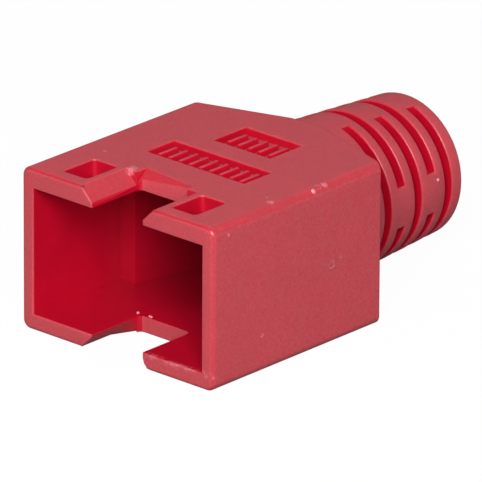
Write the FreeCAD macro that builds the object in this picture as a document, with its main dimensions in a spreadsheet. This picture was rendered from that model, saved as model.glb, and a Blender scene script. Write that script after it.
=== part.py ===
"""Strain relief boot for an eight-way modular plug on a round cable.

One moulded piece of soft plastic: a box-shaped hood, open at the front, that slips over the
back of the plug, and a slotted, tapered tail that the cable runs through. All in millimetres.
Body coordinates: x across the hood, y from the mouth to the end of the tail, z upwards from
the underside. The body's placement then puts the origin under the middle of the part.
"""
import FreeCAD, Part
import Sketcher
import os

NODE = "strain_relief_boot"

# name, size in mm (or a count), what it is
SIZES = [
    ("hood_width", 13.5, "across the outside of the hood"),
    ("hood_height", 9.07, "underside to top of the hood"),
    ("hood_side_length", 13.0, "mouth to the corner where the slanted rear starts"),
    ("rear_rise", 1.8, "how far the middle of the rear stands behind its corners"),
    ("rear_flat", 2.2, "width of the level middle of the rear"),
    ("long_edge_round", 0.5, "radius of the hood's four long edges"),
    ("mouth_edge_round", 0.25, "radius of the outer edge round the mouth"),
    ("side_wall", 0.8, "thickness of each side of the hood"),
    ("floor_wall", 0.92, "thickness of the underside"),
    ("roof_wall", 1.1, "thickness of the top"),
    ("cavity_depth", 6.75, "mouth to the shoulder that stops the plug"),
    ("shoulder", 1.0, "width of the shoulder on each side behind the plug"),
    ("chamber_taper", 0.9, "how far each side of the wires' space slants inwards"),
    ("chamber_wall", 1.7, "rear of the wires' space to the hood's rear corners"),
    ("cable_bore", 6.0, "diameter of the hole for the cable"),
    ("bore_chamfer", 0.25, "bevel where the cable leaves the tail"),
    ("tail_base", 8.9, "diameter of the tail where it leaves the hood"),
    ("tail_end", 7.92, "diameter of the tail at its end"),
    ("tail_length", 7.96, "middle of the hood's rear to the end of the tail"),
    ("tail_end_round", 0.25, "radius of the tail's outer end edge"),
    ("neck", 1.28, "plain length of the tail in front of the first slot"),
    ("slot_width", 0.61, "width of each slot along the tail"),
    ("slot_pitch", 1.291, "from one slot to the next"),
    ("side_slot_rows", 3, "rows of slots that open to the two sides"),
    ("level_slot_rows", 2, "rows of slots that open to the top and the underside"),
    ("web", 2.3, "width of the bars that join the rings across the slots"),
    ("notch_width", 3.58, "width of the latch notches in the top and the underside"),
    ("notch_depth", 3.75, "mouth to the rear of the latch notches"),
    ("notch_corner", 0.3, "radius of the rear corners of the notches"),
    ("top_bevel", 0.78, "bevel of the top notch's sides"),
    ("under_bevel", 0.78, "bevel of the lower notch's left side"),
    ("under_bevel_run", 2.3, "mouth to where that bevel starts to fade"),
    ("under_bevel_end", 0.12, "the same bevel where it ends at the rear of the notch"),
    ("under_round", 0.66, "rounding of the lower notch's right side"),
    ("ramp_left", 0.5, "bevel of the top notch's rear edge at its left end"),
    ("ramp_right", 0.12, "the same bevel at its right end"),
    ("window_width", 1.7, "width of the two windows in the top"),
    ("window_length", 2.4, "length of the windows"),
    ("window_front", 0.92, "mouth to the front of the windows"),
    ("window_spread", 7.62, "from the middle of one window to the middle of the other"),
    ("window_corner", 0.25, "radius of the windows' corners"),
    ("pad_depth", 0.48, "depth of the two recessed pads in the top"),
    ("front_pad_start", 5.98, "mouth to the front pad"),
    ("front_pad_length", 2.15, "length of the front pad"),
    ("front_pad_width", 6.9, "width of the front pad"),
    ("pad_gap", 1.45, "top surface left between the pads"),
    ("rear_pad_length", 2.57, "length of the rear pad"),
    ("rear_pad_width", 4.0, "width of the rear pad"),
]

TOLERANCE = 1e-4


def add_sheet(doc):
    """The driving sizes, one to a row."""
    sheet = doc.addObject("Spreadsheet::Sheet", "Sizes")
    for row, (name, value, note) in enumerate(SIZES, start=1):
        sheet.set("A%d" % row, name)
        sheet.set("B%d" % row, str(value))
        sheet.set("C%d" % row, note)
        sheet.setAlias("B%d" % row, name)
    doc.recompute()
    return sheet


# ---------------------------------------------------------------- drawing helpers

def size(body, expression):
    """The present value of an expression on the sheet."""
    return float(body.evalExpression(expression))


def on_plane(body, name, role, **offset):
    """A new sketch on one of the body's own planes, moved by bound offsets (x, y or z)."""
    sketch = body.newObject("Sketcher::SketchObject", name)
    plane = [f for f in body.Origin.OriginFeatures if f.Role == role][0]
    sketch.AttachmentSupport = [(plane, "")]
    sketch.MapMode = "FlatFace"
    for axis, expression in offset.items():
        sketch.setExpression(".AttachmentOffset.Base." + axis, expression)
    return sketch


def bind_point(sketch, kind, line, expression):
    """Fixes the start of a line at a bound distance from the sketch's origin."""
    if expression == "0":
        axis = -2 if kind == "DistanceX" else -1
        sketch.addConstraint(Sketcher.Constraint("PointOnObject", line, 1, axis))
        return
    origin, corner = (-1, 1), (line, 1)
    ends = corner + origin if expression.startswith("-") else origin + corner
    distance = expression.lstrip("-")
    value = size(sketch, distance)
    index = sketch.addConstraint(Sketcher.Constraint(kind, *ends, value))
    sketch.setExpression("Constraints[%d]" % index, distance)


def outline(sketch, corners):
    """A closed outline of straight lines through corners given as pairs of expressions."""
    places = [FreeCAD.Vector(size(sketch, x), size(sketch, y), 0) for x, y in corners]
    first = sketch.GeometryCount
    count = len(places)
    for i in range(count):
        sketch.addGeometry(Part.LineSegment(places[i], places[(i + 1) % count]), False)
    for i in range(count):
        following = first + (i + 1) % count
        sketch.addConstraint(Sketcher.Constraint("Coincident", first + i, 2, following, 1))
    for i, (x, y) in enumerate(corners):
        bind_point(sketch, "DistanceX", first + i, x)
        bind_point(sketch, "DistanceY", first + i, y)


def rectangle(sketch, left, right, low, high):
    """A rectangle between two x and two y expressions."""
    outline(sketch, [(left, low), (right, low), (right, high), (left, high)])


def circle(sketch, diameter):
    """A circle about the sketch's origin."""
    radius = size(sketch, diameter) / 2
    ring = Part.Circle(FreeCAD.Vector(0, 0, 0), FreeCAD.Vector(0, 0, 1), radius)
    index = sketch.addGeometry(ring, False)
    sketch.addConstraint(Sketcher.Constraint("Coincident", index, 3, -1, 1))
    bound = sketch.addConstraint(Sketcher.Constraint("Diameter", index, 2 * radius))
    sketch.setExpression("Constraints[%d]" % bound, diameter)


def cut(body, name, sketch, depth=None, both_ways=False, backwards=False):
    """A pocket from a sketch, to a bound depth or through all, that must remove material."""
    before = body.Tip.Shape.Volume
    pocket = body.newObject("PartDesign::Pocket", name)
    pocket.Profile = sketch
    pocket.Reversed = backwards
    if both_ways:
        pocket.Midplane = True
    if depth is None:
        pocket.Type = "ThroughAll"
    else:
        pocket.Type = "Length"
        pocket.setExpression("Length", depth)
    body.Document.recompute()
    assert pocket.Shape.Volume < before - TOLERANCE, name + " cuts nothing"
    return pocket


def pick_edges(feature, test):
    """Names of the feature's edges that pass a test."""
    names = []
    for number, edge in enumerate(feature.Shape.Edges, start=1):
        if test(edge):
            names.append("Edge%d" % number)
    assert names, "no edges found on " + feature.Name
    return names


def dress_edges(body, kind, name, test, setting, expression):
    """A fillet or chamfer, its size bound, on the picked edges of the body as it stands."""
    base = body.Tip
    dressing = body.newObject("PartDesign::" + kind, name)
    dressing.Base = (base, pick_edges(base, test))
    dressing.setExpression(setting, expression)
    body.Document.recompute()


def near(a, b):
    return abs(a - b) < TOLERANCE


def ends(edge):
    """The first and last point of an edge, which are the same on a full circle."""
    return edge.Vertexes[0].Point, edge.Vertexes[-1].Point


def upright(edge):
    """Whether an edge stands along z."""
    p, q = ends(edge)
    return near(p.x, q.x) and near(p.y, q.y) and not near(p.z, q.z)


# ---------------------------------------------------------------- places on the boot

HALF_WIDTH = "Sizes.hood_width / 2"
REAR = "(Sizes.hood_side_length + Sizes.rear_rise)"
TAIL_END = "(Sizes.hood_side_length + Sizes.rear_rise + Sizes.tail_length)"
AXIS_HEIGHT = "Sizes.hood_height / 2"
CAVITY_HALF = "(Sizes.hood_width / 2 - Sizes.side_wall)"
CAVITY_TOP = "(Sizes.hood_height - Sizes.roof_wall)"
CHAMBER_HALF = "(Sizes.hood_width / 2 - Sizes.side_wall - Sizes.shoulder)"
CHAMBER_REAR = "(Sizes.hood_side_length - Sizes.chamber_wall)"
SLOT_START = "(Sizes.hood_side_length + Sizes.rear_rise + Sizes.neck)"


# ---------------------------------------------------------------- outside of the hood

def add_hood(body):
    """The solid hood: its plan, with the rear slanted towards the tail, raised to full height."""
    plan = on_plane(body, "HoodPlan", "XY_Plane")
    flat = "Sizes.rear_flat / 2"
    outline(plan, [("-" + HALF_WIDTH, "0"), (HALF_WIDTH, "0"),
                   (HALF_WIDTH, "Sizes.hood_side_length"), (flat, REAR),
                   ("-" + flat, REAR), ("-" + HALF_WIDTH, "Sizes.hood_side_length")])
    hood = body.newObject("PartDesign::Pad", "Hood")
    hood.Profile = plan
    hood.setExpression("Length", "Sizes.hood_height")
    body.Document.recompute()


def round_hood(body):
    """Rounds the four long edges, and then the outer edge all round the mouth."""
    half = size(body, HALF_WIDTH)

    def long_edge(edge):
        p, q = ends(edge)
        return near(abs(p.x), half) and near(p.x, q.x) and near(p.z, q.z)

    def mouth_edge(edge):
        p, q = ends(edge)
        return near(p.y, 0) and near(q.y, 0)

    dress_edges(body, "Fillet", "LongEdges", long_edge, "Radius", "Sizes.long_edge_round")
    dress_edges(body, "Fillet", "MouthEdge", mouth_edge, "Radius", "Sizes.mouth_edge_round")


# ---------------------------------------------------------------- outside of the tail

def add_tail(body):
    """The tapered tail, turned about the cable's axis."""
    profile = on_plane(body, "TailProfile", "YZ_Plane", y=AXIS_HEIGHT)
    root = "Sizes.hood_side_length"
    outline(profile, [(root, "0"), (root, "Sizes.tail_base / 2"), (REAR, "Sizes.tail_base / 2"),
                      (TAIL_END, "Sizes.tail_end / 2"), (TAIL_END, "0")])
    tail = body.newObject("PartDesign::Revolution", "Tail")
    tail.Profile = profile
    tail.ReferenceAxis = (profile, ["H_Axis"])
    tail.Angle = 360
    body.Document.recompute()
    end = size(body, TAIL_END)

    def end_edge(edge):
        p, q = ends(edge)
        return near(p.y, end) and near(q.y, end) and isinstance(edge.Curve, Part.Circle)

    dress_edges(body, "Fillet", "TailEndEdge", end_edge, "Radius", "Sizes.tail_end_round")


# ---------------------------------------------------------------- inside

def add_cavity(body):
    """The square space for the plug, and behind it a narrower one where the wires spread."""
    mouth = on_plane(body, "CavityMouth", "XZ_Plane")
    rectangle(mouth, "-" + CAVITY_HALF, CAVITY_HALF, "Sizes.floor_wall", CAVITY_TOP)
    cut(body, "PlugCavity", mouth, depth="Sizes.cavity_depth")

    plan = on_plane(body, "ChamberPlan", "XY_Plane", z=CAVITY_TOP)
    rear_half = "(%s - Sizes.chamber_taper)" % CHAMBER_HALF
    outline(plan, [("-" + CHAMBER_HALF, "Sizes.cavity_depth"),
                   (CHAMBER_HALF, "Sizes.cavity_depth"),
                   (rear_half, CHAMBER_REAR), ("-" + rear_half, CHAMBER_REAR)])
    cut(body, "WireChamber", plan, depth=CAVITY_TOP + " - Sizes.floor_wall")


def add_cable_bore(body):
    """The round hole for the cable, from the wires' space out through the end of the tail."""
    sketch = on_plane(body, "BoreCircle", "XZ_Plane", y=AXIS_HEIGHT, z="-" + CHAMBER_REAR)
    circle(sketch, "Sizes.cable_bore")
    cut(body, "CableBore", sketch)
    end = size(body, TAIL_END)
    bore = size(body, "Sizes.cable_bore / 2")

    def exit_edge(edge):
        ring = edge.Curve
        return isinstance(ring, Part.Circle) and near(ring.Radius, bore) and near(ring.Center.y, end)

    dress_edges(body, "Chamfer", "BoreExit", exit_edge, "Size", "Sizes.bore_chamfer")


# ---------------------------------------------------------------- slots of the tail

def add_slot_rows(body, name, sketch, rows):
    """Cuts one row of slots and repeats it at every other pitch."""
    slot = cut(body, name, sketch, both_ways=True)
    pattern = body.newObject("PartDesign::LinearPattern", name + "Rows")
    pattern.Originals = [slot]
    along = [f for f in body.Origin.OriginFeatures if f.Role == "Y_Axis"][0]
    pattern.Direction = (along, [""])
    pattern.setExpression("Length", "2 * Sizes.slot_pitch * (Sizes.%s - 1)" % rows)
    pattern.setExpression("Occurrences", "Sizes.%s" % rows)
    body.Tip = pattern
    body.Document.recompute()


def add_slots(body):
    """Rows of slots by turns: open to both sides, then to the top and the underside.

    Each row runs right through to the cable hole, and leaves two bars that join its rings.
    """
    far = "Sizes.hood_width"
    side = on_plane(body, "SideSlotPlan", "XY_Plane")
    side_rear = "(%s + Sizes.slot_width)" % SLOT_START
    bar = "Sizes.web / 2"
    rectangle(side, bar, far, SLOT_START, side_rear)
    rectangle(side, "-" + far, "-" + bar, SLOT_START, side_rear)
    add_slot_rows(body, "SideSlot", side, "side_slot_rows")

    level = on_plane(body, "LevelSlotPlan", "YZ_Plane", y=AXIS_HEIGHT)
    level_front = "(%s + Sizes.slot_pitch)" % SLOT_START
    level_rear = "(%s + Sizes.slot_pitch + Sizes.slot_width)" % SLOT_START
    rectangle(level, level_front, level_rear, bar, far)
    rectangle(level, level_front, level_rear, "-" + far, "-" + bar)
    add_slot_rows(body, "LevelSlot", level, "level_slot_rows")


# ---------------------------------------------------------------- notches, windows and pads

def add_latch_notches(body):
    """One notch in the top for the plug's latch, and its twin in the underside."""
    half = "Sizes.notch_width / 2"
    plan = on_plane(body, "NotchPlan", "XY_Plane")
    rectangle(plan, "-" + half, half, "0", "Sizes.notch_depth")
    cut(body, "LatchNotches", plan, both_ways=True)
    side = size(body, half)
    rear = size(body, "Sizes.notch_depth")

    def rear_corner(edge):
        p, _ = ends(edge)
        return upright(edge) and near(abs(p.x), side) and near(p.y, rear)

    dress_edges(body, "Fillet", "NotchCorners", rear_corner, "Radius", "Sizes.notch_corner")
    add_notch_bevels(body, half)
    add_left_lip_bevel(body, half)
    add_right_lip_round(body, half)


def add_notch_bevels(body, half):
    """Bevels the outer side edges of the top notch, as far back as its round corners."""
    sketch = on_plane(body, "NotchBevels", "XZ_Plane")
    top = "Sizes.hood_height"
    for side in ("", "-"):
        outline(sketch, [(side + half, "(Sizes.hood_height - Sizes.top_bevel)"),
                         (side + "(%s + Sizes.top_bevel)" % half, top), (side + half, top)])
    cut(body, "NotchBevel", sketch, depth="Sizes.notch_depth - Sizes.notch_corner")


def add_right_lip_round(body, half):
    """Rounds the outer edge of the lower notch's right side, in three flats."""
    sketch = on_plane(body, "RightLip", "XZ_Plane")
    corners = [(half, "0")]
    for angle in (90, 60, 30, 0):
        aside = "(%s + Sizes.under_round * (1 - cos(%d deg)))" % (half, angle)
        corners.append((aside, "Sizes.under_round * (1 - sin(%d deg))" % angle))
    corners[1] = ("(%s + Sizes.under_round)" % half, "0")
    corners[-1] = (half, "Sizes.under_round")
    outline(sketch, corners)
    cut(body, "RightLipRound", sketch, depth="Sizes.notch_depth - Sizes.notch_corner")


def cut_loft(body, name, sections):
    """Cuts a straight-sided loft through the sections, which must remove material."""
    before = body.Tip.Shape.Volume
    loft = body.newObject("PartDesign::SubtractiveLoft", name)
    loft.Profile = sections[0]
    loft.Sections = [(section, [""]) for section in sections[1:]]
    loft.Ruled = True
    body.Document.recompute()
    assert loft.Shape.Volume < before - TOLERANCE, name + " cuts nothing"


def add_left_lip_bevel(body, half):
    """Bevels the outer edge of the lower notch's left side, and fades out towards the rear."""
    sections = []
    for number, (place, width) in enumerate([("0", "Sizes.under_bevel"),
                                             ("Sizes.under_bevel_run", "Sizes.under_bevel"),
                                             ("Sizes.notch_depth", "Sizes.under_bevel_end")]):
        section = on_plane(body, "LeftLip%d" % number, "XZ_Plane", z="-" + place)
        outline(section, [("-" + half, "0"), ("-" + half, width), ("-(%s + %s)" % (half, width), "0")])
        sections.append(section)
    cut_loft(body, "LeftLipBevel", sections)


def add_ramp(body):
    """Bevels the top notch's rear edge, wide at its left end and narrow at its right."""
    front = "(Sizes.notch_depth - Sizes.notch_corner)"
    sections = []
    for side, end in (("-", "left"), ("", "right")):
        width = "Sizes.ramp_" + end
        section = on_plane(body, "Ramp" + end.title(), "YZ_Plane",
                           z=side + "Sizes.notch_width / 2")
        foot = "(Sizes.hood_height - %s - Sizes.notch_corner)" % width
        outline(section, [(front, foot), ("(Sizes.notch_depth + %s)" % width,
                                          "Sizes.hood_height"), (front, "Sizes.hood_height")])
        sections.append(section)
    cut_loft(body, "Ramp", sections)


def add_windows(body):
    """Two windows through the top, one on each side of the notch."""
    plan = on_plane(body, "WindowPlan", "XY_Plane", z="Sizes.hood_height")
    inner = "(Sizes.window_spread - Sizes.window_width) / 2"
    outer = "(Sizes.window_spread + Sizes.window_width) / 2"
    rear = "(Sizes.window_front + Sizes.window_length)"
    rectangle(plan, inner, outer, "Sizes.window_front", rear)
    window = cut(body, "Window", plan, depth="Sizes.roof_wall")
    mirror = body.newObject("PartDesign::Mirrored", "WindowPair")
    mirror.Originals = [window]
    middle = [f for f in body.Origin.OriginFeatures if f.Role == "YZ_Plane"][0]
    mirror.MirrorPlane = (middle, [""])
    body.Tip = mirror
    body.Document.recompute()
    across = (size(body, inner), size(body, outer))
    along = (size(body, "Sizes.window_front"), size(body, rear))

    def window_corner(edge):
        p, _ = ends(edge)
        return (upright(edge) and any(near(abs(p.x), x) for x in across)
                and any(near(p.y, y) for y in along))

    dress_edges(body, "Fillet", "WindowCorners", window_corner, "Radius", "Sizes.window_corner")


def add_pads(body):
    """Two shallow recessed pads across the top, a wide one in front of a narrow one."""
    plan = on_plane(body, "PadPlan", "XY_Plane", z="Sizes.hood_height")
    front_end = "(Sizes.front_pad_start + Sizes.front_pad_length)"
    rear_start = "(Sizes.front_pad_start + Sizes.front_pad_length + Sizes.pad_gap)"
    rear_end = "(%s + Sizes.rear_pad_length)" % rear_start
    wide = "Sizes.front_pad_width / 2"
    narrow = "Sizes.rear_pad_width / 2"
    rectangle(plan, "-" + wide, wide, "Sizes.front_pad_start", front_end)
    rectangle(plan, "-" + narrow, narrow, rear_start, rear_end)
    cut(body, "Pads", plan, depth="Sizes.pad_depth")


# ---------------------------------------------------------------- the whole part

def build_boot(doc):
    body = doc.addObject("PartDesign::Body", NODE)
    body.Label = NODE
    body.setExpression(".Placement.Base.y", "-%s / 2" % TAIL_END)
    add_hood(body)
    round_hood(body)
    add_tail(body)
    add_cavity(body)
    add_cable_bore(body)
    add_slots(body)
    add_latch_notches(body)
    add_ramp(body)
    add_windows(body)
    add_pads(body)
    doc.recompute()
    return body


def check(doc, body):
    """Stops if any object failed, or if the body isn't one sound solid."""
    for item in doc.Objects:
        if "Invalid" in item.State or "Error" in item.State:
            raise RuntimeError("%s failed: %s" % (item.Name, item.State))
        shape = getattr(item, "Shape", None)
        if shape is not None and (shape.isNull() or not shape.isValid()):
            raise RuntimeError("%s has no sound shape" % item.Name)
    if len(body.Shape.Solids) != 1:
        raise RuntimeError("the boot should be one solid")


def main():
    doc = FreeCAD.newDocument("StrainReliefBoot")
    add_sheet(doc)
    body = build_boot(doc)
    check(doc, body)
    os.makedirs("parts", exist_ok=True)
    body.Shape.exportStep("parts/%s.step" % body.Label)
    box = body.Shape.BoundBox
    print("size %.2f x %.2f x %.2f mm" % (box.XLength, box.YLength, box.ZLength))
    print("volume %.1f mm3, one solid" % body.Shape.Volume)


main()
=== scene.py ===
"""Looks of a strain relief boot for a modular plug: a moulded hood with a slotted tail.

Laid out as an add-on and run as a script. Each piece has its own operator, and the sizes and
colours that a user would change are properties. Named places are in millimetres and meshes in
metres, in the part's own frame: +Y from the mouth to the end of the tail, +Z up, and the
origin under the middle of the part.
"""
import math

import bmesh
import bpy
from bpy.props import FloatProperty, FloatVectorProperty, IntProperty, PointerProperty
from mathutils import Matrix, Vector


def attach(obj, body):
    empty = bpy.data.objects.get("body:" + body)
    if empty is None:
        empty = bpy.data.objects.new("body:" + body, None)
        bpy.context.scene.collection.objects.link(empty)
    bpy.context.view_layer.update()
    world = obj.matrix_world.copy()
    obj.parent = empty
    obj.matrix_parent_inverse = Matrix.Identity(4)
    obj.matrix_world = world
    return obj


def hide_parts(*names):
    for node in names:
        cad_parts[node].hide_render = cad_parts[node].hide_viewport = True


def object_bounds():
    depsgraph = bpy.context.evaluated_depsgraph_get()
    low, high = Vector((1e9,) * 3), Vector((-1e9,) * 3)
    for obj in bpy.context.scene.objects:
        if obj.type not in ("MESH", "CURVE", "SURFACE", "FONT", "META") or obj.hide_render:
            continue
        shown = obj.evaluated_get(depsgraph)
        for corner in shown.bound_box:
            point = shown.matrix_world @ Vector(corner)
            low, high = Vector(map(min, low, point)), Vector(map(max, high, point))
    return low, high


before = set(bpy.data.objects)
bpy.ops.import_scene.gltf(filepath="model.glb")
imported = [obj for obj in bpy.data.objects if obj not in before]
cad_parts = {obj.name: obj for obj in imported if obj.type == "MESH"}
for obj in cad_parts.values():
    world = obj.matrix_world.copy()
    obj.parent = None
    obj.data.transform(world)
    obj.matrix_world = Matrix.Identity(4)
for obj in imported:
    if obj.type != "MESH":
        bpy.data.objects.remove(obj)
CAD_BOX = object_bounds()

bl_info = {
    "name": "Strain relief boot",
    "version": (1, 0, 0),
    "blender": (4, 5, 0),
    "location": "3D View > Sidebar > Boot",
    "description": "Builds the moulded boot, its raised ribs and moulding nibs, and a plain studio",
    "category": "Add Mesh",
}

NODE = "strain_relief_boot"
SKIN = "outer_skin"
MM = 0.001
WHITE = (1.0, 1.0, 1.0, 1.0)

# ---------------------------------------------------------------- places on the part, in mm

LOW, HIGH = CAD_BOX
HALF_WIDTH = HIGH[0] / MM
HEIGHT = HIGH[2] / MM
MOUTH = LOW[1] / MM
TAIL_END = HIGH[1] / MM
AXIS_HEIGHT = HEIGHT / 2

NOTCH_REAR = MOUTH + 3.75
REAR_CORNER = MOUTH + 13.0
REAR_MIDDLE = REAR_CORNER + 1.8
REAR_FLAT_HALF = 1.1
TAIL_BASE_RADIUS = 4.45
TAIL_END_RADIUS = 3.96
WINDOW_X = 3.81
CAVITY_FLOOR = 0.92
PAD_FLOOR = HEIGHT - 0.48
FRONT_PAD_MIDDLE = MOUTH + 7.055
REAR_PAD_MIDDLE = MOUTH + 10.865
RIB_SINK = 0.02
RIB_RIM = 0.05
RIB_RIM_STEPS = 2

# shallow pits left by the mould, pale flecks, and last a painted highlight on the facet at the left
# rear corner of the top notch: place and radius
PITS = (((6.75, -2.19, 4.47), 0.2), ((6.5, -3.02, 9.0), 0.16), ((6.75, -1.5, 4.75), 0.1))
FLECKS_AND_HIGHLIGHT = (((6.75, -10.2, 8.47), 0.16), ((6.75, -7.6, 2.09), 0.13), ((-4.98, -6.91, 9.07), 0.13),
          ((0.35, 4.46, 9.07), 0.13), ((6.24, -6.47, 9.07), 0.24), ((5.65, -6.06, 9.07), 0.13),
          # the last one is a painted highlight, not a fleck
          ((6.5, -2.6, 9.0), 0.26), ((-2.25, -7.8, 8.95), 0.42))

# small raised nibs: place and radius
NIBS = (((6.56, -3.52, 8.88), 0.16), ((-2.08, -7.49, 0.92), 0.09), ((-1.17, -7.45, 0.92), 0.08),
        ((-1.3, -7.44, 0.92), 0.07), ((4.0, 9.27, 5.23), 0.11))

# ---------------------------------------------------------------- limits

# how textured a face is, which also sets how much painted sheen it gets: on the outer skin, on its
# softened rims, and on the top notch's ramp
SKIN_SHARE = 1.0
RIM_SHARE = 0.7
RAMP_SHARE = 0.35

# how far a face's middle may lie under the skin, in mm, and still count as an outer face of
# the part, as textured skin, or as a rim
OUTER_SLACK = 0.02
SKIN_SLACK = 0.03
RIM_SLACK = 0.1
# how far the pads' floors and the notch's ramp lie under the top at most, in mm
TOP_SLACK = 0.8
# how far the notch's rear wall may be from its place, and how far the ramp reaches at most
WALL_SLACK = 0.05
RAMP_REACH = 1.0

# angles between faces: one flat face below the first, an edge to round above the second, and
# an edge with crisp shading above the third
FLAT = math.radians(0.5)
SHARP = math.radians(38)
CRISP = math.radians(50)

# in metres: points closer than this are one, and edges shorter than the second are dropped
CLOSE = 1e-7
SHORT = 1e-6

# ---------------------------------------------------------------- studio, in metres

KEY_PLACE = (0.137, -0.163, 0.131)
KEY_WIDTH = 0.12
FILL_PLACE = (-0.442, 0.161, 0.171)
FILL_WIDTH = 0.3
CARD_HALF = 0.6
CARD_DROP = 0.02 * MM
LOOK_AT = Vector((0, -1.737, 4.821)) * MM
VIEW_SHIFT = Vector((-0.0393, -0.8908, 0)) * MM
NEAREST = 0.05
SENSOR_MM = 36

# ---------------------------------------------------------------- colours


def linear(hex_colour):
    """A colour written as sRGB hex, as linear red, green, blue and an alpha of 1."""
    channels = [int(hex_colour[i:i + 2], 16) / 255 for i in (1, 3, 5)]
    curved = [c / 12.92 if c <= 0.04045 else ((c + 0.055) / 1.055) ** 2.4 for c in channels]
    return (*curved, 1.0)


# ---------------------------------------------------------------- settings


class BootSettings(bpy.types.PropertyGroup):
    """Sizes of the softened edges, and the colours of the vinyl."""

    rim_round: FloatProperty(
        name="Rim rounding", description="Radius that the mould leaves on sharp edges",
        default=0.09 * MM, min=0.01 * MM, precision=6, unit="LENGTH")
    rim_steps: IntProperty(
        name="Rim steps", description="Facets across each rounded edge", default=3, min=1, max=6)
    vinyl: FloatVectorProperty(
        name="Vinyl", description="Body colour of the dyed vinyl",
        default=linear("#C20829")[:3], subtype="COLOR", min=0, max=1)
    vinyl_deep: FloatVectorProperty(
        name="Deep vinyl", description="Darker streaks and clouds in the dye",
        default=linear("#BA0626")[:3], subtype="COLOR", min=0, max=1)
    # painted shade: the darker colour painted deep in the cavity, where it lies in shade
    cavity_shade: FloatVectorProperty(
        name="Painted cavity shade", description="Darker colour deep inside the part",
        default=linear("#8A0319")[:3], subtype="COLOR", min=0, max=1)
    # also the colour of the painted highlight at the top notch's left rear corner
    scuff_and_highlight: FloatVectorProperty(
        name="Scuff and highlight", description="Pale rubbed vinyl on high spots",
        default=linear("#E8909A")[:3], subtype="COLOR", min=0, max=1)
    # painted sheen: pale colour painted over the outer skin in place of its reflection of the
    # surroundings
    painted_sheen: FloatVectorProperty(
        name="Painted sheen", description="Chalky film on the textured outer skin",
        default=linear("#F0D8DA")[:3], subtype="COLOR", min=0, max=1)
    painted_sheen_share: FloatProperty(
        name="Bloom share", description="How much of the outer skin's colour is that film",
        default=0.085, min=0, max=1)


class MarkSettings(bpy.types.PropertyGroup):
    """Sizes of the plain raised ribs in the two pads."""

    height: FloatProperty(
        name="Height", description="How far the ribs stand up from the pads' floors",
        default=0.36 * MM, precision=6, unit="LENGTH")
    stroke: FloatProperty(
        name="Stroke", description="Width of one rib",
        default=0.24 * MM, precision=6, unit="LENGTH")
    rib_count: IntProperty(
        name="Ribs", description="Number of ribs in the front pad", default=9, min=1)
    rib_pitch: FloatProperty(
        name="Rib pitch", description="From one rib to the next",
        default=0.72 * MM, precision=6, unit="LENGTH")
    rib_length: FloatProperty(
        name="Rib length", description="Length of a rib along the part",
        default=1.45 * MM, precision=6, unit="LENGTH")
    rear_rib_count: IntProperty(
        name="Rear ribs", description="Number of ribs in the rear pad", default=5, min=1)


class NibSettings(bpy.types.PropertyGroup):
    """Size and colour of the small nibs."""

    size: FloatProperty(
        name="Size", description="Factor on the nibs' radii", default=1.0, min=0.1, max=1.2)
    colour: FloatVectorProperty(
        name="Colour", description="Pale stretched vinyl of the nibs",
        default=linear("#E0848C")[:3], subtype="COLOR", min=0, max=1)


class StudioSettings(bpy.types.PropertyGroup):
    """Camera and lights."""

    azimuth: FloatProperty(
        name="Azimuth", description="Camera direction round the part, from its mouth",
        default=math.radians(42.10832), subtype="ANGLE")
    elevation: FloatProperty(
        name="Elevation", description="Camera height above the horizon",
        default=math.radians(21.53745), subtype="ANGLE")
    roll: FloatProperty(
        name="Roll", description="Turn of the camera about its own axis",
        default=math.radians(0.29489), subtype="ANGLE")
    distance: FloatProperty(
        name="Distance", description="Camera to the middle of the part",
        default=526.794 * MM, subtype="DISTANCE")
    lens: FloatProperty(
        name="Lens", description="Focal length in millimetres on a 36 mm sensor", default=750.6445)
    surround: FloatProperty(
        name="Surround", description="Brightness of the white surroundings as a light",
        default=0.26, min=0)
    key: FloatProperty(
        name="Key", description="Power of the lamp in front and to the right",
        default=0.75, min=0, unit="POWER")
    fill: FloatProperty(
        name="Fill", description="Power of the soft lamp behind and to the left",
        default=0.45, min=0, unit="POWER")


# ---------------------------------------------------------------- node helper

ADD = {"operation": "ADD"}
SUBTRACT = {"operation": "SUBTRACT"}
MULTIPLY = {"operation": "MULTIPLY"}
MULTIPLY_ADD = {"operation": "MULTIPLY_ADD"}
MAXIMUM = {"operation": "MAXIMUM"}
LESS_THAN = {"operation": "LESS_THAN"}
SMOOTH = {"interpolation_type": "SMOOTHSTEP"}
COLOURS = {"data_type": "RGBA"}
MIXED = 2


def add_node(tree, kind, settings=None, output=0, **inputs):
    """Adds a node with its settings and inputs, and returns one of its outputs.

    An input is named as its socket is, with _ for a space, or by i and its number. Its value
    is a socket to link from, or a plain value.
    """
    node = tree.nodes.new("ShaderNode" + kind)
    for name, value in (settings or {}).items():
        setattr(node, name, value)
    for name, value in inputs.items():
        key = int(name[1:]) if name[1:].isdigit() else name.replace("_", " ")
        if isinstance(value, bpy.types.NodeSocket):
            tree.links.new(value, node.inputs[key])
        else:
            node.inputs[key].default_value = value
    return node.outputs[output] if len(node.outputs) else None


def empty_material(name):
    """A material with an empty node tree."""
    material = bpy.data.materials.new(name)
    material.use_nodes = True
    material.node_tree.nodes.clear()
    return material


# ---------------------------------------------------------------- masks


def overlap(tree, share, *others):
    """The product of several shares: high only where all of them are."""
    for other in others:
        share = add_node(tree, "Math", MULTIPLY, i0=share, i1=other)
    return share


def spot_mask(tree, place, spot, inner, outer):
    """1 within the inner distance of a spot, falling to 0 at the outer one, all in mm."""
    away = add_node(tree, "VectorMath", {"operation": "DISTANCE"}, "Value",
                    i0=place, i1=[c * MM for c in spot])
    return add_node(tree, "MapRange", SMOOTH, Value=away, From_Min=inner * MM,
                    From_Max=outer * MM, To_Min=1.0, To_Max=0.0)


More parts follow.
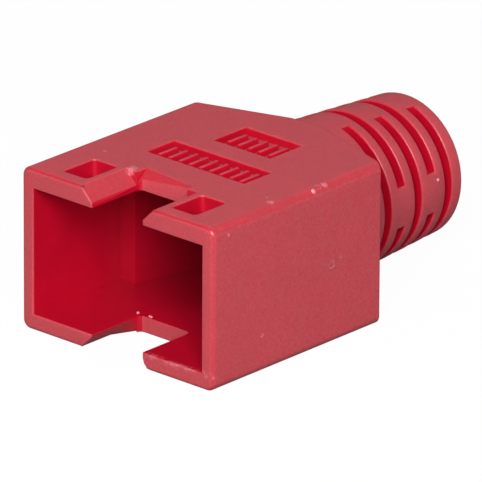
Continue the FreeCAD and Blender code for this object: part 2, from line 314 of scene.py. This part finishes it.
def painted_cavity_shade(tree, place, skin):
    """Share of the painted shade deep in the cavity: a darker colour where its walls lie in shade.
    """
    y = add_node(tree, "SeparateXYZ", output="Y", Vector=place)
    z = add_node(tree, "SeparateXYZ", output="Z", Vector=place)
    # it sets in behind the mouth, is full at the part's middle, and ends with the hood
    onset = add_node(tree, "MapRange", SMOOTH, Value=y, From_Min=-8.5 * MM, From_Max=0.0)
    in_hood = add_node(tree, "MapRange", SMOOTH, Value=y, From_Min=4.0 * MM, From_Max=3.0 * MM)
    # the pads and the windows' walls are above this height
    under_roof = add_node(tree, "MapRange", SMOOTH, Value=z, From_Min=8.2 * MM,
                          From_Max=8.1 * MM)
    smooth = add_node(tree, "Math", LESS_THAN, i0=skin, i1=0.5)
    return overlap(tree, onset, in_hood, smooth, under_roof)


def worn_edge(tree, place):
    """Patchy pale wear along the inner edge of the lower right lip."""
    x, y, z = (add_node(tree, "SeparateXYZ", output=axis, Vector=place) for axis in "XYZ")
    section = add_node(tree, "CombineXYZ", Y=y, Z=z)
    edge = (0.0, MOUTH + 0.05, CAVITY_FLOOR)
    close = spot_mask(tree, section, edge, 0.05, 0.32)
    right = add_node(tree, "MapRange", SMOOTH, Value=x, From_Min=1.8 * MM, From_Max=2.4 * MM)
    patches = add_node(tree, "TexNoise", Vector=place, Scale=2600.0, Detail=3.0)
    broken = add_node(tree, "MapRange", Value=patches, From_Min=0.45, From_Max=0.62, To_Max=0.8)
    return overlap(tree, close, right, broken)


def pits_flecks_and_highlight(tree, place):
    """Share of the pale marks, one of them a painted highlight, and height of the pits' rims, at
    fixed places.
    """
    # a ragged shift of up to 0.15 mm each way keeps them from being round
    ragged = add_node(tree, "TexNoise", output="Color", Vector=place, Scale=4200.0, Detail=2.0)
    shifted = add_node(tree, "VectorMath", MULTIPLY_ADD, i0=ragged, i1=[0.3 * MM] * 3, i2=place)
    place = add_node(tree, "VectorMath", SUBTRACT, i0=shifted, i1=[0.15 * MM] * 3)

    pale, lift = worn_edge(tree, place), 0.0
    for spot, radius in PITS:
        rim = spot_mask(tree, place, spot, radius, radius * 1.5)
        hollow = spot_mask(tree, place, spot, radius * 0.5, radius)
        ring = add_node(tree, "Math", SUBTRACT, i0=rim, i1=hollow)
        pale = add_node(tree, "Math", MAXIMUM, i0=pale, i1=overlap(tree, ring, 0.55))
        # the rim stands up, and the hollow inside it lies as far below the surface
        lift = add_node(tree, "Math", ADD, i0=lift, i1=rim)
        lift = add_node(tree, "Math", MULTIPLY_ADD, i0=hollow, i1=-2.0, i2=lift)
    # pale flecks, and the painted highlight at the last place
    for spot, radius in FLECKS_AND_HIGHLIGHT:
        pale_spot = spot_mask(tree, place, spot, radius * 0.4, radius)
        pale = add_node(tree, "Math", MAXIMUM, i0=pale, i1=pale_spot)
    return pale, lift


# ---------------------------------------------------------------- materials


def dye_and_painted_light(tree, place, skin, grain, settings):
    """Colour of the vinyl: clouds in the dye, painted shade deep in the cavity, and an uneven
    painted sheen on the outer skin.
    """
    # the dye flowed into clouds about 1.5 mm across
    clouds = add_node(tree, "TexNoise", Vector=place, Scale=650.0, Detail=3.0, Roughness=0.55)
    flow = add_node(tree, "MapRange", Value=clouds, From_Min=0.3, From_Max=0.7)
    dye = add_node(tree, "Mix", COLOURS, MIXED, i0=flow, i6=(*settings.vinyl_deep, 1),
                   i7=(*settings.vinyl, 1))
    # painted shade: a darker colour deep in the cavity
    body = add_node(tree, "Mix", COLOURS, MIXED, i0=painted_cavity_shade(tree, place, skin), i6=dye,
                    i7=(*settings.cavity_shade, 1))
    # painted sheen: a pale film over the outer skin in place of the reflection of the white
    # surroundings, thicker on the grain's peaks
    uneven = add_node(tree, "MapRange", Value=grain, From_Min=0.25, From_Max=0.75, To_Min=0.55,
                      To_Max=1.45)
    film = overlap(tree, uneven, skin, settings.painted_sheen_share)
    return add_node(tree, "Mix", COLOURS, MIXED, i0=film, i6=body, i7=(*settings.painted_sheen, 1))


def moulded_soft_vinyl(settings):
    """Plasticised PVC, injection moulded and dyed right through.

    It is a deep, clear red. The outer skin took a fine grain from the spark-eroded mould, and a
    pale film is painted over it as sheen, in place of the reflection of the white surroundings.
    The cavity and the slots came off polished cores, so they and the rims stay smooth; the cavity
    and slots get none of the painted sheen and the rims less, and painted shade darkens the cavity.
    """
    material = empty_material("moulded_soft_vinyl")
    tree = material.node_tree
    place = add_node(tree, "TexCoord", output="Object")
    skin = add_node(tree, "Attribute", {"attribute_name": SKIN}, "Fac")
    # grain of about 0.12 mm, which is coarser than the mould's, so that it shows
    grain = add_node(tree, "TexNoise", Vector=place, Scale=7200.0, Detail=3.0, Roughness=0.65)

    pale, lift = pits_flecks_and_highlight(tree, place)
    broken = add_node(tree, "MapRange", Value=grain, From_Min=0.35, From_Max=0.6, To_Min=0.15,
                      To_Max=0.75)
    # pale marks, wear and one painted highlight over the body colour
    colour = add_node(tree, "Mix", COLOURS, MIXED, i0=overlap(tree, pale, broken),
                      i6=dye_and_painted_light(tree, place, skin, grain, settings), i7=(*settings.scuff_and_highlight, 1))

    # a satin skin, and more gloss on the polished faces and rims
    satin = add_node(tree, "MapRange", Value=grain, To_Min=0.46, To_Max=0.6)
    polished = add_node(tree, "Math", LESS_THAN, i0=skin, i1=0.9)
    roughness = add_node(tree, "Math", SUBTRACT, i0=satin, i1=overlap(tree, polished, 0.2))
    height = add_node(tree, "Math", ADD, i0=overlap(tree, grain, 0.3), i1=lift)
    bump = add_node(tree, "Bump", Strength=0.6, Distance=0.03 * MM, Height=height)
    shader = add_node(tree, "BsdfPrincipled", Base_Color=colour, Roughness=roughness,
                      Normal=bump, IOR=1.53, Subsurface_Weight=0.25,
                      Subsurface_Scale=0.6 * MM, Subsurface_Radius=(1.0, 0.12, 0.14))
    add_node(tree, "OutputMaterial", Surface=shader)
    return material


def vinyl():
    """The moulded vinyl, made once and shared."""
    found = bpy.data.materials.get("moulded_soft_vinyl")
    return found or moulded_soft_vinyl(bpy.context.scene.boot_shell)


def stretched_vinyl():
    """The same vinyl where it was drawn out pale and glossy, on the nibs."""
    material = empty_material("stretched_vinyl")
    tree = material.node_tree
    scene = bpy.context.scene
    place = add_node(tree, "TexCoord", output="Object")
    grain = add_node(tree, "TexNoise", Vector=place, Scale=9000.0, Detail=2.0)
    share = add_node(tree, "MapRange", Value=grain, From_Min=0.3, From_Max=0.7, To_Min=0.2)
    colour = add_node(tree, "Mix", COLOURS, MIXED, i0=share, i6=(*scene.boot_shell.scuff_and_highlight, 1),
                      i7=(*scene.boot_nibs.colour, 1))
    bump = add_node(tree, "Bump", Strength=0.5, Distance=0.02 * MM, Height=grain)
    shader = add_node(tree, "BsdfPrincipled", Base_Color=colour, Normal=bump, IOR=1.53,
                      Roughness=0.3)
    add_node(tree, "OutputMaterial", Surface=shader)
    return material


def white_card():
    """Matt grey card under the part. It shows as white, and keeps the part's soft shadow."""
    material = empty_material("white_card")
    tree = material.node_tree
    card = add_node(tree, "BsdfDiffuse", Color=linear("#8C8C8C"))
    glow = add_node(tree, "Emission", Color=WHITE, Strength=1.1)
    seen = add_node(tree, "LightPath", output="Is Camera Ray")
    mix = add_node(tree, "MixShader", i0=overlap(tree, seen, 0.88), i1=card, i2=glow)
    add_node(tree, "OutputMaterial", Surface=mix)
    return material


def white_surround(strength):
    """Surroundings that light the part softly, and show as plain white."""
    world = bpy.data.worlds.new("white_surround")
    world.use_nodes = True
    tree = world.node_tree
    tree.nodes.clear()
    lighting = add_node(tree, "Background", Color=WHITE, Strength=strength)
    plain = add_node(tree, "Background", Color=WHITE, Strength=1.0)
    seen = add_node(tree, "LightPath", output="Is Camera Ray")
    mix = add_node(tree, "MixShader", i0=seen, i1=lighting, i2=plain)
    add_node(tree, "OutputWorld", Surface=mix)
    return world


# ---------------------------------------------------------------- mesh helpers


def finish_piece(bm, name, material):
    """A new object in the scene from a bmesh, smooth except at crisp edges."""
    for edge in bm.edges:
        edge.smooth = not (edge.is_manifold and edge.calc_face_angle() > CRISP)
    for face in bm.faces:
        face.smooth = True
    mesh = bpy.data.meshes.new(name)
    bm.to_mesh(mesh)
    bm.free()
    mesh.materials.append(material)
    piece = bpy.data.objects.new(name, mesh)
    bpy.context.scene.collection.objects.link(piece)
    normals = piece.modifiers.new("Even shading", "WEIGHTED_NORMAL")
    normals.keep_sharp = True
    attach(piece, "root")
    return piece


def soften(bm, edges, radius, steps):
    """Rounds edges by a radius."""
    bmesh.ops.bevel(bm, geom=edges, offset=radius, offset_type="OFFSET", segments=steps,
                    profile=0.5, affect="EDGES", clamp_overlap=False, material=-1,
                    loop_slide=True)


def clear_faces(bm):
    """Makes each flat face one polygon, cut only along planes through the openings' middles.

    A polygon can't have a hole, so each plane passes through a window, pad, notch or bore.
    The windows' planes stop at the hood's rear, because they would graze the tail's sides.
    """
    whole = 2 * TAIL_END
    cuts = [((x * MM, 0, 0), (1, 0, 0), REAR_MIDDLE) for x in (-WINDOW_X, WINDOW_X)]
    cuts.append(((0, 0, 0), (1, 0, 0), whole))
    cuts.append(((0, 0, AXIS_HEIGHT * MM), (0, 0, 1), whole))
    for place, across, last in cuts:
        faces = [f for f in bm.faces if max(v.co.y for v in f.verts) < last * MM + CLOSE]
        edges = {e for f in faces for e in f.edges}
        verts = {v for f in faces for v in f.verts}
        bmesh.ops.bisect_plane(bm, geom=[*verts, *edges, *faces], dist=CLOSE,
                               plane_co=place, plane_no=across)
    for edge in bm.edges:
        edge.seam = False
        for place, across, _ in cuts:
            gaps = [abs((v.co - Vector(place)).dot(Vector(across))) for v in edge.verts]
            if max(gaps) < 2 * CLOSE:
                edge.seam = True
    bmesh.ops.dissolve_limit(bm, angle_limit=FLAT, verts=bm.verts[:], edges=bm.edges[:],
                             delimit={"SEAM"})


def on_skin(place, slack):
    """Whether a place, in metres, lies on the outer surface, to a slack in mm."""
    x, y, z = (abs(place.x) / MM, place.y / MM, place.z / MM)
    if y < MOUTH + slack or x > HALF_WIDTH - slack or z > HEIGHT - slack or z < slack:
        return True
    slant = (REAR_MIDDLE - REAR_CORNER) / (HALF_WIDTH - REAR_FLAT_HALF)
    rear = min(REAR_MIDDLE, REAR_CORNER + slant * (HALF_WIDTH - x))
    if y < rear - slack:
        return False
    along = max(0.0, (y - REAR_MIDDLE) / (TAIL_END - REAR_MIDDLE))
    tail = TAIL_BASE_RADIUS + along * (TAIL_END_RADIUS - TAIL_BASE_RADIUS)
    radius = math.hypot(x, z - AXIS_HEIGHT)
    return radius > tail - slack or y > TAIL_END - slack


def mark_skin(bm):
    """Writes how textured each face is, which also sets its painted sheen: fully on the outer skin,
    less on rims, not inside.
    """
    layer = bm.faces.layers.float.new(SKIN)
    for face in bm.faces:
        middle = face.calc_center_median()
        y = middle.y / MM
        faces_up = face.normal.z > 0.5 and middle.z > (HEIGHT - TOP_SLACK) * MM
        in_pad = faces_up and face.normal.z > 0.9 and y > NOTCH_REAR + RAMP_REACH
        notch_wall = face.normal.y < -0.9 and abs(y - NOTCH_REAR) < WALL_SLACK
        if on_skin(middle, SKIN_SLACK) or notch_wall or in_pad:
            face[layer] = SKIN_SHARE
        elif faces_up and face.normal.y < -0.3:
            face[layer] = RAMP_SHARE
        elif faces_up or on_skin(middle, RIM_SLACK):
            face[layer] = RIM_SHARE


def keep_in_box(bm):
    """Presses stray corners of rounded rims back onto the part's own box."""
    for vert in bm.verts:
        vert.co = [min(max(c, a), b) for c, a, b in zip(vert.co, LOW, HIGH)]


def raise_outline(bm, corners, foot, height):
    """A solid with an upright wall on a closed outline, its upper edges softened."""
    ground = [bm.verts.new((x, y, foot)) for x, y in corners]
    base = bm.faces.new(ground)
    grown = bmesh.ops.extrude_face_region(bm, geom=[base])["geom"]
    top = [v for v in grown if isinstance(v, bmesh.types.BMVert)]
    bmesh.ops.translate(bm, verts=top, vec=(0, 0, height))
    rim = [e for e in grown if isinstance(e, bmesh.types.BMEdge)]
    soften(bm, rim, RIB_RIM * MM, RIB_RIM_STEPS)


# ---------------------------------------------------------------- operators


class BOOT_OT_add_shell(bpy.types.Operator):
    """Adds the moulded shell, with the soft edges that the mould leaves"""

    bl_idname = "boot.add_shell"
    bl_label = "Moulded shell"

    def execute(self, context):
        settings = context.scene.boot_shell
        bm = bmesh.new()
        bm.from_mesh(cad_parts[NODE].data)
        bmesh.ops.remove_doubles(bm, verts=bm.verts[:], dist=CLOSE)
        clear_faces(bm)
        bmesh.ops.recalc_face_normals(bm, faces=bm.faces[:])
        # only outer edges that stick out are rounded, as the others are the cores' own
        outer = [on_skin(face.calc_center_median(), OUTER_SLACK) for face in bm.faces]
        edges = [e for e in bm.edges if e.is_manifold and e.calc_face_angle_signed() > SHARP
                 and any(outer[f.index] for f in e.link_faces)]
        soften(bm, edges, settings.rim_round, settings.rim_steps)
        bmesh.ops.recalc_face_normals(bm, faces=bm.faces[:])
        keep_in_box(bm)
        bmesh.ops.dissolve_degenerate(bm, dist=SHORT, edges=bm.edges[:])
        mark_skin(bm)
        shell = finish_piece(bm, "boot_shell", vinyl())
        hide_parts(NODE)
        return {"FINISHED"}


class BOOT_OT_add_marks(bpy.types.Operator):
    """Adds plain raised ribs to both pads"""

    bl_idname = "boot.add_marks"
    bl_label = "Raised ribs"

    def execute(self, context):
        settings = context.scene.boot_marks
        bm = bmesh.new()
        self.add_row(bm, FRONT_PAD_MIDDLE, settings.rib_count, settings)
        self.add_row(bm, REAR_PAD_MIDDLE, settings.rear_rib_count, settings)
        bmesh.ops.recalc_face_normals(bm, faces=bm.faces[:])
        mark_skin(bm)
        finish_piece(bm, "raised_ribs", vinyl())
        return {"FINISHED"}

    def add_row(self, bm, pad_middle, count, settings):
        """A row of ribs across a pad, sunk a little into its floor."""
        foot = (PAD_FLOOR - RIB_SINK) * MM
        half = settings.stroke / 2
        long = settings.rib_length / 2
        y = pad_middle * MM
        for number in range(count):
            x = (number - (count - 1) / 2) * settings.rib_pitch
            corners = ((x - half, y - long), (x + half, y - long),
                       (x + half, y + long), (x - half, y + long))
            raise_outline(bm, corners, foot, settings.height)


class BOOT_OT_add_nibs(bpy.types.Operator):
    """Adds the small nibs of vinyl that stand on the surface"""

    bl_idname = "boot.add_nibs"
    bl_label = "Moulding nibs"

    def execute(self, context):
        bm = bmesh.new()
        for place, radius in NIBS:
            seat = Matrix.Translation(Vector(place) * MM)
            size = radius * context.scene.boot_nibs.size * MM
            bmesh.ops.create_icosphere(bm, subdivisions=2, radius=size, matrix=seat)
        finish_piece(bm, "moulding_nibs", stretched_vinyl())
        return {"FINISHED"}


class BOOT_OT_add_studio(bpy.types.Operator):
    """Adds the white card, the soft lights, the white surroundings and the camera"""

    bl_idname = "boot.add_studio"
    bl_label = "Plain studio"

    def execute(self, context):
        settings = context.scene.boot_studio
        context.scene.world = white_surround(settings.surround)
        self.add_card(context)
        # only the key lamp shows as a highlight on the vinyl
        self.add_lamp(context, "key", KEY_PLACE, KEY_WIDTH, settings.key, True)
        self.add_lamp(context, "fill", FILL_PLACE, FILL_WIDTH, settings.fill, False)
        self.add_camera(context, settings)
        return {"FINISHED"}

    def add_card(self, context):
        """A card just under the part, as the stage."""
        bm = bmesh.new()
        bmesh.ops.create_grid(bm, x_segments=1, y_segments=1, size=CARD_HALF)
        mesh = bpy.data.meshes.new("white_card_floor")
        bm.to_mesh(mesh)
        bm.free()
        mesh.materials.append(white_card())
        floor = bpy.data.objects.new("white_card_floor", mesh)
        floor.location.z = -CARD_DROP
        context.scene.collection.objects.link(floor)

    def add_lamp(self, context, name, place, width, power, glossy):
        """A square soft lamp that faces the part."""
        light = bpy.data.lights.new(name, "AREA")
        light.shape = "SQUARE"
        light.size = width
        light.energy = power
        lamp = bpy.data.objects.new(name, light)
        lamp.location = place
        lamp.rotation_mode = "QUATERNION"
        lamp.rotation_quaternion = (-Vector(place)).to_track_quat("-Z", "Y")
        lamp.visible_camera = False
        lamp.visible_glossy = glossy
        context.scene.collection.objects.link(lamp)

    def add_camera(self, context, settings):
        """A long lens that looks slightly down on the mouth and the right side."""
        turn, rise = settings.azimuth, settings.elevation
        level = math.cos(rise)
        back = Vector((math.sin(turn) * level, -math.cos(turn) * level, math.sin(rise)))
        across = Vector((math.cos(turn), math.sin(turn), 0))
        upright = Matrix((across, back.cross(across), back)).transposed()
        axes = upright @ Matrix.Rotation(settings.roll, 3, "Z")
        aim = LOOK_AT + axes @ VIEW_SHIFT
        data = bpy.data.cameras.new("camera")
        data.sensor_width = SENSOR_MM
        data.lens = settings.lens
        data.clip_start = NEAREST
        camera = bpy.data.objects.new("camera", data)
        camera.matrix_world = Matrix.Translation(aim + back * settings.distance) @ axes.to_4x4()
        context.scene.collection.objects.link(camera)
        context.scene.camera = camera


class BOOT_PT_panel(bpy.types.Panel):
    """Lists the pieces of the boot and their settings"""

    bl_label = "Strain relief boot"
    bl_idname = "BOOT_PT_panel"
    bl_space_type = "VIEW_3D"
    bl_region_type = "UI"
    bl_category = "Boot"

    def draw(self, context):
        layout = self.layout
        for operator, name, group in PIECES:
            box = layout.box()
            box.operator(operator)
            settings = getattr(context.scene, name)
            for setting in group.__annotations__:
                box.prop(settings, setting)


# each piece's operator, and the name and group of its settings
PIECES = (
    ("boot.add_shell", "boot_shell", BootSettings),
    ("boot.add_marks", "boot_marks", MarkSettings),
    ("boot.add_nibs", "boot_nibs", NibSettings),
    ("boot.add_studio", "boot_studio", StudioSettings),
)
CLASSES = (BootSettings, MarkSettings, NibSettings, StudioSettings, BOOT_OT_add_shell,
           BOOT_OT_add_marks, BOOT_OT_add_nibs, BOOT_OT_add_studio, BOOT_PT_panel)


def register():
    for cls in CLASSES:
        bpy.utils.register_class(cls)
    for _, name, group in PIECES:
        setattr(bpy.types.Scene, name, PointerProperty(type=group))


def unregister():
    for _, name, _ in PIECES:
        delattr(bpy.types.Scene, name)
    for cls in reversed(CLASSES):
        bpy.utils.unregister_class(cls)


def main():
    """Builds everything in order."""
    register()
    bpy.context.scene.view_settings.view_transform = "Standard"
    bpy.ops.boot.add_shell()
    bpy.ops.boot.add_marks()
    bpy.ops.boot.add_nibs()
    bpy.ops.boot.add_studio()
    bpy.context.view_layer.update()


if __name__ == "__main__":
    main()
